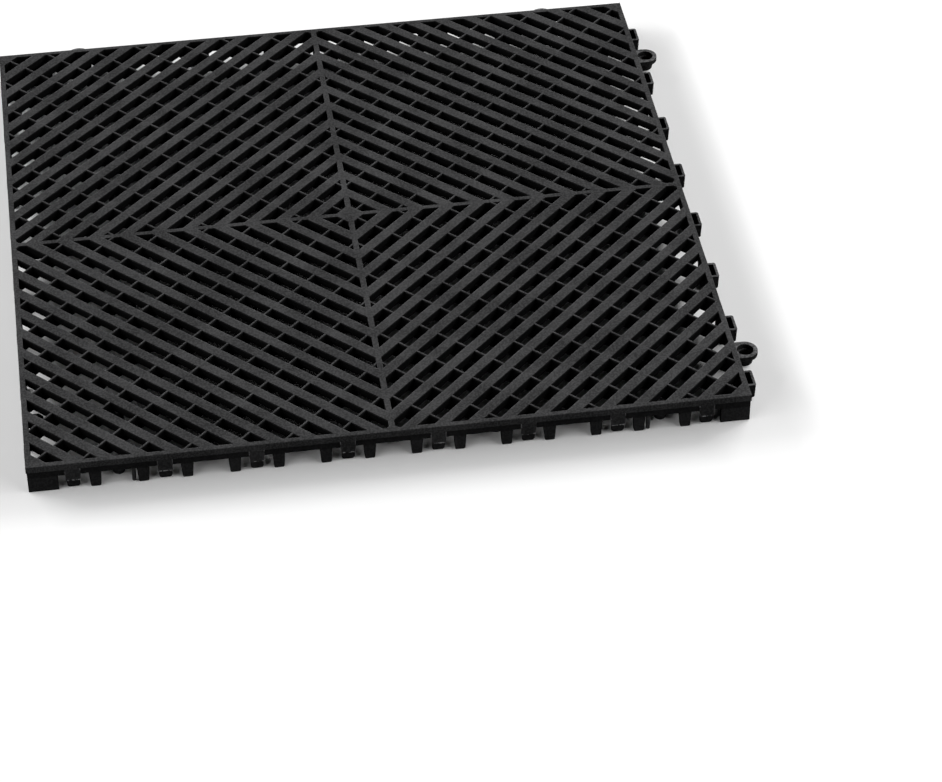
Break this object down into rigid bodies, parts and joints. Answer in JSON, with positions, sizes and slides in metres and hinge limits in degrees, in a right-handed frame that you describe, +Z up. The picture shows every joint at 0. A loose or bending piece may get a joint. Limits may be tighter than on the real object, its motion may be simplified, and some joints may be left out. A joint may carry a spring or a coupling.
{
  "type": "modular drainage tile",
  "caption": "Square snap-together floor tile: diagonal slotted grille in mirrored quadrants, low side skirts with hooks and pegs, matching loops and rings, short feet.",
  "frame": {"origin": "centre of the tile's plan, on the floor it stands on", "axes": "+Z up through the walking surface; +X towards the right edge and +Y towards the back edge, the two edges with loops and rings"},
  "size_m": [0.4152, 0.4152, 0.018],
  "materials": {
    "black_plastic": "satin moulded black"
  },
  "bodies": {
    "root": {"grille_front_left": "black_plastic", "grille_front_right": "black_plastic", "grille_back_left": "black_plastic", "grille_back_right": "black_plastic", "rim_front": "black_plastic", "rim_left": "black_plastic", "rim_right": "black_plastic", "rim_back": "black_plastic", "hooks_front": "black_plastic", "hooks_left": "black_plastic", "sockets_right": "black_plastic", "sockets_back": "black_plastic", "corner_legs": "black_plastic", "feet": "black_plastic"}
  },
  "joints": []
}
